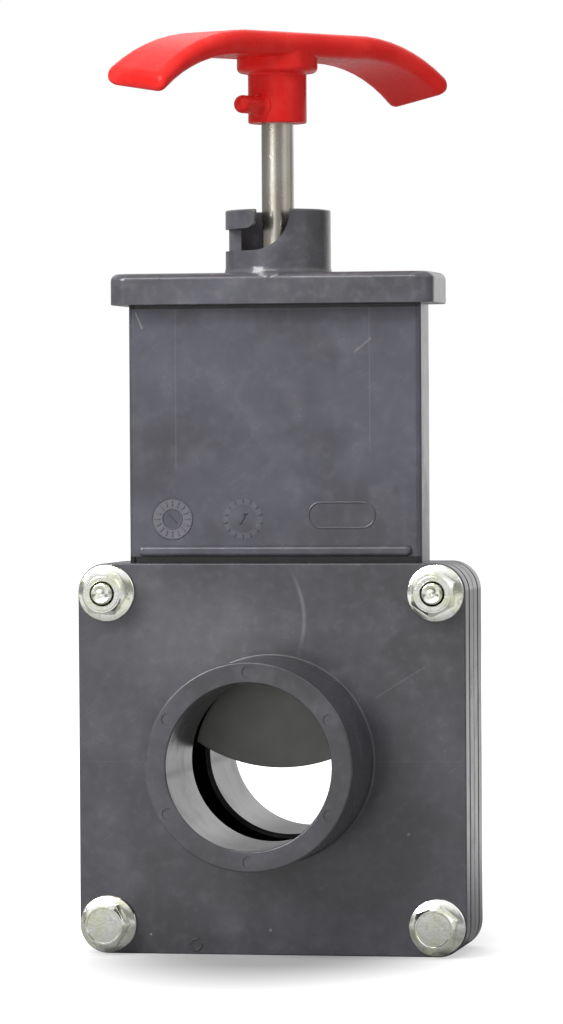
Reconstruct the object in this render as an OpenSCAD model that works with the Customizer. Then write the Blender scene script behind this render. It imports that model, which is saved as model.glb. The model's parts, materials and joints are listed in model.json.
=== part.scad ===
// Blade gate valve for a plastic pipe line: a bolted two-part body with a
// spigot on each side, a flat bonnet, a cap with a twist-lock collar, and a
// T-handle on a rod that lifts the gate.
//
// Flow runs along Y and the front is towards -Y. The gate slides along Z and
// the valve stands at z = 0 on the bottom edge of its body. The gate is drawn
// part open, with the handle turned and clear of the collar.

/* [Ports] */
// Outside diameter of each pipe spigot
spigot_d = 50; // [44:1:60]
// Diameter of the flow bore
bore_d = 40; // [30:1:44]
// Length from one spigot face to the other
port_to_port = 85; // [60:1:120]
// Radius of the fillet where a spigot meets the body
spigot_fillet = 1.2; // [0.6:0.1:2]

/* [Body] */
// Width of the body
body_w = 95.4; // [88:0.1:130]
// Height of the body
body_h = 95; // [88:0.1:130]
// Thickness of both body halves together
body_t = 26; // [24:0.5:36]
// Radius of the body's corners
body_corner_r = 7; // [4:0.5:9]
// Distance from a flange to the edges of the body
flange_edge = 0.1; // [0:0.1:2]
// Thickness of the body between a bolt hole and the bonnet
bolt_wall = 0.95; // [0.8:0.05:4]
// Width of the groove round each half's rim
rim_groove_w = 0.9; // [0.4:0.1:1.5]
// Depth of the groove round each half's rim
rim_groove_depth = 0.6; // [0.3:0.1:1]

/* [Seals] */
// Radial width of the two seal rings
seal_w = 8.5; // [5:0.5:10]
// Thickness of each seal ring along the flow
seal_t = 9.1; // [6:0.1:9.5]

/* [Gate] */
// Thickness of the gate
gate_t = 2; // [1.5:0.1:3]
// Clearance between each side of the gate and the inside of the bonnet
gate_side_gap = 0.75; // [0.3:0.05:3]
// Height of the gate
gate_h = 74; // [66:0.5:76]
// Amount by which the radius of the gate's lower edge exceeds half its width
gate_nose_extra = 5; // [2:0.5:9]
// Height of the gate's lowest point above the bottom of the bore
gate_opening = 17.2; // [12:0.1:38]

/* [Bonnet] */
// Height of the bonnet between the body and the cap
bonnet_h = 62.8; // [58:0.1:90]
// Wall thickness of the bonnet
bonnet_wall = 2.4; // [1.6:0.1:3]
// Clearance between the rod and the inside of the bonnet, front and back
rod_room = 0.65; // [0.6:0.05:3]
// Depth to which the bonnet is held between the body halves
bonnet_seat = 9; // [6:0.5:12]
// Height of the bar across the bonnet's face
bar_h = 2.2; // [1.5:0.1:4]
// Height of the bar's middle above the body
bar_lift = 2.4; // [1.5:0.1:6]
// Distance from each end of the bar to the bonnet's side
bar_inset = 2.4; // [2:0.1:8]

/* [Cap] */
// Distance that the cap reaches past each side of the bonnet
cap_side = 3.75; // [2.5:0.05:10]
// Distance from the collar to the front and the back of the cap
cap_rim = 0.4; // [0.2:0.1:4]
// Height of the cap
cap_h = 7.6; // [6:0.1:12]
// Radius of the cap's upright corners
cap_corner_r = 4.5; // [3:0.1:6]
// Radius of the cap's top edge
cap_edge_r = 1.8; // [1:0.1:2.4]
// Depth of the socket that takes the top of the bonnet
cap_socket = 4; // [2:0.1:5]

/* [Lock collar] */
// Outside diameter of the collar
collar_d = 25.7; // [22:0.1:31]
// Height of the collar above the cap
collar_h = 15.4; // [13:0.1:24]
// Wall thickness of the collar
collar_wall = 3; // [2:0.1:3.6]
// Height of the slot's floor above the cap
slot_floor = 5.4; // [4:0.1:8]
// Radius of the slot's curved side
slot_r = 9.2; // [7:0.1:11]

/* [Rod] */
// Diameter of the rod
rod_d = 7.9; // [6:0.1:9]
// Diameter of the rod's lower neck
neck_d = 4.4; // [3:0.1:5]

/* [Handle] */
// Diameter of the hub
hub_d = 14.3; // [12:0.1:16]
// Height of the hub's straight part
hub_h = 12.2; // [8:0.1:20]
// Diameter of the shoulder between hub and grip
shoulder_d = 19.7; // [17:0.1:24]
// Height of the shoulder
shoulder_h = 3.6; // [2:0.1:6]
// Distance from the collar's rim up to the hub
hub_clearance = 21.2; // [14:0.1:30]
// Length of the grip, seen from above
grip_l = 94; // [78:0.5:116]
// Width of the grip
grip_w = 20.2; // [16:0.1:26]
// Thickness of the grip
grip_t = 6; // [4:0.1:8]
// Length of the grip's straight middle
grip_flat = 34.4; // [24:0.1:50]
// Radius at which the top of the grip's ends curves down
grip_end_r = 43.3; // [34:0.1:90]
// Radius of the grip's long edges
grip_edge_r = 2.8; // [1:0.1:2.9]
// Radius of the grip's corners, seen from above
grip_corner_r = 2; // [1:0.1:8]
// Turn of the grip about the rod
grip_turn = 50; // [0:1:359]
// Diameter of the locking peg
peg_d = 4.4; // [3:0.1:4.8]
// Distance that the peg's tip would reach past the collar
peg_out = 3.2; // [2.6:0.1:8]
// Radius of the edge round the peg's tip
peg_tip_r = 1.7; // [0.4:0.1:1.9]
// Height of the peg's axis above the bottom of the hub
peg_lift = 4.1; // [3:0.1:8]
// Turn of the peg about the rod, from the grip's axis
peg_turn = 14; // [0:1:90]

/* [Bolts] */
// Thread diameter of the flanged bolts and nuts
bolt_d = 6; // [5:0.1:7.2]
// Length of bolt that shows past each nut
bolt_out = 2; // [0.5:0.5:12]
// Width across flats of heads and nuts
hex_w = 10; // [8:0.5:12]
// Diameter of the flanges on heads and nuts
flange_d = 14.2; // [12:0.1:14.4]
// Thickness of the flanges on heads and nuts
flange_t = 1.3; // [0.8:0.1:2]
// Height of a bolt head with its flange
head_h = 6.2; // [5:0.1:8]
// Height of a nut with its flange
nut_h = 6; // [5:0.1:8]

/* [Hidden] */
$fn = 96;

// Clearances: between fixed pieces, between sliding pieces, and round bolts
fit_gap = 0.1;
slide_gap = 0.2;
bolt_gap = 0.3;
thread_gap = 0.05;
// Overlap that makes a cut run cleanly past a face
past = 1;

half_t = body_t / 2;
bore_z = body_h / 2;
spigot_l = (port_to_port - body_t) / 2;
bolt_inset = flange_d / 2 + flange_edge;
bolt_x = body_w / 2 - bolt_inset;
bolt_z = body_h / 2 - bolt_inset;
bolt_l = body_t + nut_h + bolt_out;

bonnet_w = 2 * (bolt_x - bolt_d / 2 - bolt_gap - bolt_wall - fit_gap);
bonnet_d = rod_d + 2 * rod_room + 2 * bonnet_wall;
bonnet_in_w = bonnet_w - 2 * bonnet_wall;
bonnet_in_d = bonnet_d - 2 * bonnet_wall;
bonnet_foot = body_h - bonnet_seat;
bonnet_corner_r = 1.4;
bar_w = bonnet_w - 2 * bar_inset;
bar_out = 1.4;

seal_face = gate_t / 2 + slide_gap / 2;
seal_r = bore_d / 2 + seal_w;
seal_back = seal_face + seal_t;

gate_w = bonnet_in_w - 2 * gate_side_gap;
gate_nose_r = gate_w / 2 + gate_nose_extra;
gate_z = bore_z - bore_d / 2 + gate_opening;
gate_top = gate_z + gate_h;
guide_depth = gate_t / 2 + slide_gap;

cap_w = bonnet_w + 2 * cap_side;
cap_d = collar_d + 2 * cap_rim;
cap_z = body_h + bonnet_h;
cap_top = cap_z + cap_h;
bonnet_top = cap_z + cap_socket - fit_gap;
collar_top = cap_top + collar_h;
collar_r = collar_d / 2;
well_r = collar_r - collar_wall;
gland_h = 2.6;
rod_hole_r = rod_d / 2 + 0.5;

// The hanger grips the top of the gate, and the rod's neck turns in it
hanger_w = 16;
hanger_d = bonnet_in_d - 4 * slide_gap;
hanger_grip = 6;
hanger_window = 5;
hanger_plate = 3;
channel_gap = 1;
channel_h = 12;
hanger_z = gate_top - hanger_grip;
hanger_top = gate_top + hanger_window + hanger_plate;
window_top = gate_top + hanger_window;
window_w = 11;
clip_t = 1.2;
clip_r = hanger_d / 2 - slide_gap;
clip_gap = 0.03;
neck_end = 1;

hub_z = collar_top + hub_clearance;
shoulder_z = hub_z + hub_h;
grip_z = shoulder_z + shoulder_h;
grip_top = grip_z + grip_t;
rod_top = grip_z - 1;
rod_socket_gap = 0.03;
// Depth of the grip's core below its faces
core_depth = 0.5;
// Angle through which each end of the grip curves down
grip_sweep = asin((grip_l - grip_flat) / 2 / grip_end_r);
peg_reach = collar_r + peg_out;
peg_z = hub_z + peg_lift;

slot_h = peg_d + 1;
slot_z = cap_top + slot_floor;
hook_edge_x = -3.6;
slot_x = -4.2;
hook_round = 2.4;
// Distance that the slot runs on past the rod's axis, behind the hook
slot_back = 2.2;

// Rectangle with rounded corners, centred
module rounded_rect(w, h, r) {
    square([w - 2 * r, h], center = true);
    square([w, h - 2 * r], center = true);
    for (x = [-1, 1], y = [-1, 1])
        translate([x * (w / 2 - r), y * (h / 2 - r)]) circle(r);
}

// Turns an outline drawn in X and Z into a slab from y0 to y1
module slab(y0, y1) {
    translate([0, y1, 0]) rotate([90, 0, 0]) linear_extrude(y1 - y0) children();
}

// Outline of the body, smaller by inset all round
module body_outline(inset = 0) {
    translate([0, bore_z])
        rounded_rect(body_w - 2 * inset, body_h - 2 * inset, body_corner_r - inset);
}

// Outline of the gate, larger by grow all round, with its nose centre at z
module gate_outline(nose_z, top_z, grow = 0) {
    intersection() {
        union() {
            translate([0, nose_z]) circle(gate_nose_r + grow);
            translate([-gate_w / 2 - grow, nose_z]) square([gate_w + 2 * grow, top_z - nose_z]);
        }
        translate([-gate_w / 2 - grow, nose_z - gate_nose_r - grow])
            square([gate_w + 2 * grow, top_z - nose_z + gate_nose_r + grow]);
    }
}

// Ring along Y between y0 and y1, centred on the bore
module bore_ring(r_out, r_in, y0, y1) {
    translate([0, y1, bore_z]) rotate([90, 0, 0]) difference() {
        cylinder(h = y1 - y0, r = r_out);
        translate([0, 0, -past]) cylinder(h = y1 - y0 + 2 * past, r = r_in);
    }
}

// Front half of the body, with its spigot
module body_half() {
    difference() {
        union() {
            slab(-half_t, 0) body_outline();
            translate([0, -half_t, bore_z]) rotate([90, 0, 0]) {
                translate([0, 0, -past]) cylinder(h = spigot_l + past, d = spigot_d);
                spigot_foot();
            }
        }
        slab(-port_to_port / 2 - past, past) translate([0, bore_z]) circle(d = bore_d);
        slab(-seal_back - fit_gap, past) translate([0, bore_z]) circle(seal_r + fit_gap);
        slab(-guide_depth, past) gate_outline(bore_z, body_h + past, slide_gap);
        hanger_channel();
        bonnet_pocket();
        slab(-half_t - past, past) for (x = [-1, 1], z = [-1, 1])
            translate([x * bolt_x, bore_z + z * bolt_z]) circle(d = bolt_d + 2 * bolt_gap);
        slab(-half_t / 2 - rim_groove_w / 2, -half_t / 2 + rim_groove_w / 2) difference() {
            translate([-body_w, -body_h]) square([2 * body_w, 3 * body_h]);
            body_outline(rim_groove_depth);
        }
    }
}

// Fillet round the foot of a spigot
module spigot_foot() {
    rotate_extrude() translate([spigot_d / 2 - 0.01, 0]) difference() {
        square(spigot_fillet);
        translate([spigot_fillet, spigot_fillet]) circle(spigot_fillet);
    }
}

// Pocket that holds the foot of the bonnet
module bonnet_pocket() {
    w = bonnet_w + 2 * fit_gap;
    translate([-w / 2, -bonnet_d / 2 - fit_gap, bonnet_foot - fit_gap])
        cube([w, half_t + bonnet_d, bonnet_seat + past]);
}

// Channel that lets the hanger follow the gate into the body
module hanger_channel() {
    w = hanger_w + 2 * channel_gap;
    d = hanger_d / 2 + slide_gap;
    translate([-w / 2, -d, bonnet_foot - channel_h]) cube([w, d + past, channel_h + past]);
}

module front_body() {
    color([0.34, 0.34, 0.37]) body_half();
}

module rear_body() {
    color([0.34, 0.34, 0.37]) mirror([0, 1, 0]) body_half();
}

module front_seal() {
    color([0.05, 0.05, 0.05]) bore_ring(seal_r, bore_d / 2, -seal_back, -seal_face);
}

module rear_seal() {
    color([0.05, 0.05, 0.05]) bore_ring(seal_r, bore_d / 2, seal_face, seal_back);
}

// Flat tube that the gate lifts into
module bonnet() {
    color([0.33, 0.33, 0.36]) difference() {
        union() {
            translate([0, 0, bonnet_foot]) linear_extrude(bonnet_top - bonnet_foot)
                rounded_rect(bonnet_w, bonnet_d, bonnet_corner_r);
            bonnet_bar();
        }
        translate([-bonnet_in_w / 2, -bonnet_in_d / 2, bonnet_foot - past])
            cube([bonnet_in_w, bonnet_in_d, bonnet_top - bonnet_foot + 2 * past]);
    }
}

// Bar across the front and the back of the bonnet
module bonnet_bar() {
    slab(-bonnet_d / 2 - bar_out, bonnet_d / 2 + bar_out)
        translate([0, body_h + bar_lift]) rounded_rect(bar_w, bar_h, bar_h / 2 - 0.01);
}

// Cap with the lock collar moulded on it
module bonnet_cap() {
    color([0.34, 0.34, 0.37]) difference() {
        union() {
            cap_block();
            translate([0, 0, cap_top - past]) cylinder(h = collar_h + past, r = collar_r);
        }
        translate([-bonnet_w / 2 - fit_gap, -bonnet_d / 2 - fit_gap, cap_z - past])
            cube([bonnet_w + 2 * fit_gap, bonnet_d + 2 * fit_gap, cap_socket + past]);
        translate([0, 0, cap_z]) cylinder(h = cap_h + past, r = rod_hole_r);
        translate([0, 0, cap_top]) cylinder(h = collar_h + past, r = well_r);
        collar_slot();
    }
}

// Cap with its upright corners and its top edge rounded
module cap_block() {
    intersection() {
        translate([0, 0, cap_z]) linear_extrude(cap_h) rounded_rect(cap_w, cap_d, cap_corner_r);
        translate([-cap_w / 2, 0, cap_z]) rotate([90, 0, 90])
            linear_extrude(cap_w) rounded_top(cap_d, cap_h, cap_edge_r);
        translate([0, cap_d / 2, cap_z]) rotate([90, 0, 0])
            linear_extrude(cap_d) rounded_top(cap_w, cap_h, cap_edge_r);
    }
}

// Section of a bar with its two top edges rounded
module rounded_top(w, h, edge) {
    translate([-w / 2, 0]) square([w, h - edge]);
    translate([-w / 2 + edge, 0]) square([w - 2 * edge, h]);
    for (x = [-1, 1]) translate([x * (w / 2 - edge), h - edge]) circle(edge);
}

// Bayonet slot: open at the rim, curving down to the left under a hook
module collar_slot() {
    slab(-collar_r - past, 0) difference() {
        union() {
            translate([slot_x, slot_z + slot_r]) circle(slot_r);
            translate([slot_x, slot_z + slot_r]) square([slot_r, collar_h]);
        }
        hook_outline();
    }
    slab(-collar_r - past, slot_back) translate([-collar_r - past, slot_z])
        square([collar_r + past + slot_x, slot_h]);
}

// Outline of the hook over the slot, with its lower corner rounded
module hook_outline() {
    left = -collar_r - 2 * past;
    z = slot_z + slot_h;
    translate([left, z + hook_round]) square([hook_edge_x - left, collar_h]);
    translate([left, z]) square([hook_edge_x - hook_round - left, hook_round + past]);
    translate([hook_edge_x - hook_round, z + hook_round]) circle(hook_round);
}

// Bush round the rod, at the bottom of the collar
module rod_gland() {
    color([0.06, 0.06, 0.06]) translate([0, 0, cap_top + fit_gap / 2]) difference() {
        cylinder(h = gland_h, r = well_r - fit_gap);
        translate([0, 0, -past]) cylinder(h = gland_h + 2 * past, d = rod_d + slide_gap);
    }
}

module gate_blade() {
    color([0.34, 0.35, 0.33]) slab(-gate_t / 2, gate_t / 2)
        gate_outline(gate_z + gate_nose_r, gate_top);
}

// Block on top of the gate, in which the rod's neck turns
module gate_hanger() {
    color([0.3, 0.3, 0.32]) difference() {
        translate([-hanger_w / 2, -hanger_d / 2, hanger_z])
            cube([hanger_w, hanger_d, hanger_top - hanger_z]);
        translate([-hanger_w / 2 - past, -gate_t / 2 - thread_gap, hanger_z - past])
            cube([hanger_w + 2 * past, gate_t + 2 * thread_gap, hanger_grip + past + thread_gap]);
        translate([-window_w / 2, -hanger_d / 2 - past, gate_top])
            cube([window_w, hanger_d + 2 * past, hanger_window]);
        translate([0, 0, window_top - past])
            cylinder(h = hanger_plate + 2 * past, d = neck_d + 2 * slide_gap);
    }
}

module rod() {
    color([0.62, 0.61, 0.57]) {
        translate([0, 0, hanger_top + slide_gap]) cylinder(h = rod_top - hanger_top - slide_gap, d = rod_d);
        translate([0, 0, window_top - slide_gap - clip_t - neck_end])
            cylinder(h = hanger_plate + 3 * slide_gap + clip_t + neck_end, d = neck_d);
    }
}

// Ring that keeps the rod's neck in the hanger
module rod_clip() {
    color([0.55, 0.55, 0.55]) translate([0, 0, window_top - slide_gap - clip_t]) difference() {
        cylinder(h = clip_t, r = clip_r);
        translate([0, 0, -past]) cylinder(h = clip_t + 2 * past, r = neck_d / 2 + clip_gap);
    }
}

// Handle moulded in one piece: hub, shoulder, grip and locking peg
module handle() {
    color([0.86, 0.06, 0.08]) difference() {
        union() {
            translate([0, 0, hub_z]) cylinder(h = hub_h + shoulder_h + past, d = hub_d);
            translate([0, 0, shoulder_z]) cylinder(h = shoulder_h + grip_t / 2, d = shoulder_d);
            rotate([0, 0, grip_turn]) grip();
            rotate([0, 0, grip_turn + peg_turn]) peg();
        }
        translate([0, 0, hub_z - past])
            cylinder(h = rod_top - hub_z + past, r = rod_d / 2 + rod_socket_gap);
    }
}

// Round-edged bar, straight in the middle and curving down at both ends
module grip() {
    intersection() {
        union() {
            translate([-grip_flat / 2, 0, grip_top - grip_t / 2]) rotate([90, 0, 90])
                linear_extrude(grip_flat) grip_section(grip_w, grip_t);
            // Core that joins the straight part to the curved parts
            translate([-grip_flat / 2 - past, 0, grip_top - grip_t / 2]) rotate([90, 0, 90])
                linear_extrude(grip_flat + 2 * past)
                    square([grip_w - 2 * core_depth, grip_t - 2 * core_depth], center = true);
            for (side = [0, 1]) mirror([side, 0, 0])
                translate([grip_flat / 2, 0, grip_top - grip_end_r]) rotate([90, 0, 0])
                    rotate([0, 0, 90 - grip_sweep]) rotate_extrude(angle = grip_sweep)
                        translate([grip_end_r - grip_t / 2, 0]) grip_section(grip_t, grip_w);
        }
        translate([0, 0, grip_top - grip_end_r]) linear_extrude(grip_end_r + past)
            rounded_rect(grip_l, grip_w, grip_corner_r);
    }
}

// Section of the grip, with edges no rounder than its thickness allows
module grip_section(w, h) {
    rounded_rect(w, h, min(grip_edge_r, grip_t / 2 - 0.1));
}

// Locking peg along -X, with its tip no rounder than its thickness allows
module peg() {
    r = min(peg_tip_r, peg_d / 2 - 0.3);
    translate([0, 0, peg_z]) rotate([0, -90, 0]) rotate_extrude() {
        square([peg_d / 2, peg_reach - r]);
        square([peg_d / 2 - r, peg_reach]);
        translate([peg_d / 2 - r, peg_reach - r]) intersection() {
            circle(r);
            square(r);
        }
    }
}

// Shank, flange and hex head of a bolt whose head is at the front, and whose
// hexagon is turned by turn
module flange_bolt(turn) {
    color([0.75, 0.76, 0.7]) translate([0, -half_t, 0]) {
        rotate([90, 0, 0]) cylinder(h = flange_t, d = flange_d);
        rotate([90, 0, 0]) rotate([0, 0, turn]) cylinder(h = head_h, d = hex_w / cos(30), $fn = 6);
        rotate([-90, 0, 0]) cylinder(h = bolt_l, d = bolt_d);
    }
}

// Nut on the back of a bolt whose head is at the front
module flange_nut(turn) {
    color([0.75, 0.76, 0.7]) translate([0, half_t, 0]) rotate([-90, 0, 0]) difference() {
        union() {
            cylinder(h = flange_t, d = flange_d);
            rotate([0, 0, turn]) cylinder(h = nut_h, d = hex_w / cos(30), $fn = 6);
        }
        translate([0, 0, -past]) cylinder(h = nut_h + 2 * past, d = bolt_d + 2 * thread_gap);
    }
}

// Place of a bolt: x and z are -1 or 1. The two upper bolts go in from the back
module bolt_place(x, z) {
    translate([x * bolt_x, 0, bore_z + z * bolt_z]) mirror([0, z > 0 ? 1 : 0, 0]) children();
}

front_body();
rear_body();
front_seal();
rear_seal();
bonnet();
bonnet_cap();
rod_gland();
gate_blade();
gate_hanger();
rod();
rod_clip();
handle();
bolt_place(-1, 1) flange_bolt(12);  // bolt_top_left
bolt_place(1, 1) flange_bolt(40);  // bolt_top_right
bolt_place(-1, -1) flange_bolt(0);  // bolt_bottom_left
bolt_place(1, -1) flange_bolt(20);  // bolt_bottom_right
bolt_place(-1, 1) flange_nut(5);  // nut_top_left
bolt_place(1, 1) flange_nut(33);  // nut_top_right
bolt_place(-1, -1) flange_nut(25);  // nut_bottom_left
bolt_place(1, -1) flange_nut(8);  // nut_bottom_right
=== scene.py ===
"""Blade gate valve: what shows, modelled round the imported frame. Sizes are in millimetres."""

import json
import math

import bmesh
import bpy
from mathutils import Matrix, Vector


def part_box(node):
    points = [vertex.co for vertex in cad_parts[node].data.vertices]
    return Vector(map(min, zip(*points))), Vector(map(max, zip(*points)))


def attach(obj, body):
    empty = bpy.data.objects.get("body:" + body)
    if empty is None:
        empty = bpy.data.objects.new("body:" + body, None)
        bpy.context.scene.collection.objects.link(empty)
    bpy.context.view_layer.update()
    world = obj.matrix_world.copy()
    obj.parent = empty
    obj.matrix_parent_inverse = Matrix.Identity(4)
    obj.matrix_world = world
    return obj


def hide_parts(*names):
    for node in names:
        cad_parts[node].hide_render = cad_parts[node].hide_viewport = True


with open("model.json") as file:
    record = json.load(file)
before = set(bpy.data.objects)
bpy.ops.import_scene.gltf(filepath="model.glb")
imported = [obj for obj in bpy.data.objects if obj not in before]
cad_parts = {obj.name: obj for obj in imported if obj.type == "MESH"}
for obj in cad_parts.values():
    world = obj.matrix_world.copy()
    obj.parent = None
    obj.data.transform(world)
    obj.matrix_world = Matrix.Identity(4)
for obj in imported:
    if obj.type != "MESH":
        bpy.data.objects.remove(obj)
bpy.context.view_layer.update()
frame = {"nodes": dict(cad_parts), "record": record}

MM = 0.001
DOUBLES = 0.002 * MM
FORWARD = Vector((0, -1, 0))
UP = Vector((0, 0, 1))


def extent(node):
    """Lowest and highest corner of a frame node."""
    low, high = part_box(node)
    return low / MM, high / MM


def heading(turn):
    """Level direction, turned in degrees from +X towards +Y."""
    return Vector((math.cos(math.radians(turn)), math.sin(math.radians(turn)), 0))


# ---------- places and sizes ----------

# Read from the frame
BODY_LOW, BODY_HIGH = extent("front_body")
BONNET_LOW, BONNET_HIGH = extent("bonnet")
CAP_LOW, CAP_HIGH = extent("bonnet_cap")
SEAL_LOW, SEAL_HIGH = extent("front_seal")
GLAND_LOW, GLAND_HIGH = extent("rod_gland")
GATE_LOW, GATE_HIGH = extent("gate_blade")
ROD_LOW, ROD_HIGH = extent("rod")
HEAD_LOW, HEAD_HIGH = extent("bolt_bottom_left")
NUT_END = extent("nut_bottom_left")[1].y
GRIP_TOP = extent("handle")[1].z

# Room left round a piece that sits in another
FIT = 0.1

# Body. The halves meet at y = 0. Their faces lie HALF_T from there, and the rim's groove in between.
BORE_Z = BODY_HIGH.z / 2
BODY_W = BODY_HIGH.x * 2
HALF_T = 13.0
BODY_CORNER_R = 7
GROOVE_NEAR = 6.05
GROOVE_FAR = 7.45
SPIGOT_END = -BODY_LOW.y
SPIGOT_R = 25.0
BORE_R = 20.0
SEAL_R = (SEAL_HIGH.x - SEAL_LOW.x) / 2

# Bonnet
BONNET_W = BONNET_HIGH.x * 2
BONNET_D = 14.0
BONNET_FACE = -BONNET_D / 2
BONNET_WALL = 2.4
BAR_LOW = 96.5
BAR_W = 67.5
BAR_H = 2.7
SEAM_DEPTH = 0.9
TOP_SEAM_LOW = CAP_LOW.z - 0.9
INSERT_Z = 105.7
LEFT_INSERT_X = -25.4
RIGHT_INSERT_X = -7.9

# Cap and lock collar. The slot's tools start outside the collar, at SLOT_START_X and SLOT_START_Y.
CAP_TOP = 165.4
COLLAR_R = 12.85
COLLAR_WALL = 3
COLLAR_TOP = CAP_HIGH.z
SLOT_FLOOR = 170.8
SLOT_ROOF = 176.2
SLOT_START_X = -14.5
SLOT_START_Y = -15
SLOT_END_X = -4.2
HOOK_X = -3.6
RAMP_R = 9.2

# Rod, grip, hub and peg. The grip is flat to GRIP_FLAT from its middle, then bends down.
ROD_R = ROD_HIGH.x
NECK_R = 2.2
GRIP_AXIS = heading(50)
GRIP_ASIDE = 1.0
GRIP_FLAT = 17.2
GRIP_END_R = 43.3
GRIP_SWEEP = math.asin(29.8 / GRIP_END_R)
GRIP_W = 20.2
GRIP_T = 6.0
GRIP_END_T = 4.6
HUB_R = 7.15
HUB_LOW = GRIP_TOP - 21.8
SHOULDER_R = 9.85
SHOULDER_LOW = GRIP_TOP - 9.6
PEG_AXIS = -heading(64)
PEG_Z = GRIP_TOP - 17.7
PEG_R = 2.2
PEG_END = 15.8

# Bolts and nuts
BOLT_X = (HEAD_HIGH.x + HEAD_LOW.x) / -2
BOLT_RISE = BORE_Z - (HEAD_HIGH.z + HEAD_LOW.z) / 2
BOLT_END = HEAD_HIGH.y + HALF_T
FLANGE_R = (HEAD_HIGH.x - HEAD_LOW.x) / 2
HEAD_H = -HALF_T - HEAD_LOW.y
NUT_H = NUT_END - HALF_T
HALF_FLATS = 5


# ---------- bench tools ----------


def deselect():
    """Leaves edit mode and lets go of everything."""
    if bpy.context.mode != "OBJECT":
        bpy.ops.object.mode_set(mode="OBJECT")
    bpy.ops.object.select_all(action="DESELECT")


def take(piece):
    """Makes the piece the one thing selected."""
    deselect()
    bpy.context.view_layer.objects.active = piece
    piece.select_set(True)


def edit(piece):
    """Opens the piece in edit mode with all of it selected."""
    take(piece)
    bpy.ops.object.mode_set(mode="EDIT")
    bpy.ops.mesh.select_mode(type="VERT")
    bpy.ops.mesh.select_all(action="SELECT")


def pick(kind, test, sharper=0):
    """Selects the vertices, edges or faces that pass the test.

    The test is given a vertex's place, an edge's two ends, or a face's middle and normal.
    An edge must also turn by more degrees than sharper says.
    """
    bpy.ops.mesh.select_mode(type=kind)
    bpy.ops.mesh.select_all(action="DESELECT")
    mesh = bmesh.from_edit_mesh(bpy.context.edit_object.data)
    if kind == "VERT":
        found = [v for v in mesh.verts if test(v.co / MM)]
    elif kind == "EDGE":
        found = [e for e in mesh.edges if test(e.verts[0].co / MM, e.verts[1].co / MM)]
        found = [e for e in found if e.calc_face_angle(math.pi) >= math.radians(sharper)]
    else:
        found = [f for f in mesh.faces if test(f.calc_center_median() / MM, f.normal)]
    for part in found:
        part.select_set(True)
    mesh.select_flush_mode()
    bmesh.update_edit_mesh(bpy.context.edit_object.data)


def pull(move):
    """Extrudes what is selected by a move."""
    bpy.ops.mesh.extrude_region_move(TRANSFORM_OT_translate={"value": Vector(move) * MM})


def swell(amount):
    """Extrudes the selected faces along their normals."""
    settings = {"value": amount * MM, "use_even_offset": True}
    bpy.ops.mesh.extrude_region_shrink_fatten(TRANSFORM_OT_shrink_fatten=settings)


def bevel(width, steps=3):
    """Rounds the selected edges, or chamfers them with one step."""
    bpy.ops.mesh.bevel(offset=width * MM, segments=steps, affect="EDGES", clamp_overlap=True)


def tidy_mesh():
    """Merges doubles and points every face outwards."""
    bpy.ops.mesh.select_mode(type="VERT")
    bpy.ops.mesh.select_all(action="SELECT")
    bpy.ops.mesh.remove_doubles(threshold=DOUBLES)
    bpy.ops.mesh.normals_make_consistent(inside=False)


def close_gaps(piece):
    """Fills any open edges left on a piece."""
    edit(piece)
    bpy.ops.mesh.select_mode(type="EDGE")
    bpy.ops.mesh.select_all(action="DESELECT")
    bpy.ops.mesh.select_non_manifold()
    if bpy.context.edit_object.data.total_edge_sel:
        bpy.ops.mesh.edge_face_add()
    tidy_mesh()


def trace(name, points):
    """Draws a line through the points: one vertex, extruded from each point to the next."""
    places = [Vector(point) for point in points]
    deselect()
    bpy.ops.mesh.primitive_plane_add(size=MM, location=places[0] * MM)
    line = bpy.context.object
    line.name = name
    bpy.ops.object.transform_apply(location=True, rotation=True, scale=True)
    edit(line)
    bpy.ops.mesh.merge(type="CENTER")
    for here, there in zip(places, places[1:]):
        pull(there - here)
    return line


def prism(name, points, move):
    """Fills the outline and extrudes it into a solid."""
    solid = trace(name, points)
    bpy.ops.mesh.select_all(action="SELECT")
    bpy.ops.mesh.edge_face_add()
    pull(move)
    tidy_mesh()
    return solid


def lathe(name, profile, centre, axis, steps=96):
    """Spins a profile of (radius, distance along the axis) once round."""
    along = axis.normalized()
    outward = along.orthogonal().normalized()
    middle = Vector(centre)
    turned = trace(name, [middle + outward * radius + along * height for radius, height in profile])
    if profile[0] == profile[-1]:
        bpy.ops.mesh.select_all(action="SELECT")
        bpy.ops.mesh.remove_doubles(threshold=DOUBLES)
    bpy.ops.mesh.select_all(action="SELECT")
    bpy.ops.mesh.spin(steps=steps, angle=math.tau, center=middle * MM, axis=along)
    tidy_mesh()
    return turned


def repeat(piece, count, centre):
    """Spins copies of a piece about a line along the flow, to make an even ring of that many."""
    edit(piece)
    turn = math.tau * (count - 1) / count
    middle = Vector(centre) * MM
    bpy.ops.mesh.spin(steps=count - 1, dupli=True, angle=turn, center=middle, axis=(0, 1, 0))


def arc(x, y, radius, start, end, steps):
    """Points along an arc between two angles in degrees."""
    turns = [math.radians(start + (end - start) * i / steps) for i in range(steps + 1)]
    return [(x + radius * math.cos(turn), y + radius * math.sin(turn)) for turn in turns]


def rounded(width, height, radius, steps, side_steps=1):
    """Points round a centred rectangle with rounded corners."""
    across = width / 2 - radius
    rise = height / 2 - radius
    corners = [(across, rise), (-across, rise), (-across, -rise), (across, -rise)]
    arcs = [arc(x, y, radius, 90 * i, 90 * i + 90, steps) for i, (x, y) in enumerate(corners)]
    points = []
    for here, following in zip(arcs, arcs[1:] + arcs[:1]):
        start = Vector(here[-1])
        side = Vector(following[0]) - start
        points += here
        points += [tuple(start + side * i / side_steps) for i in range(1, side_steps)]
    return points


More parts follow.
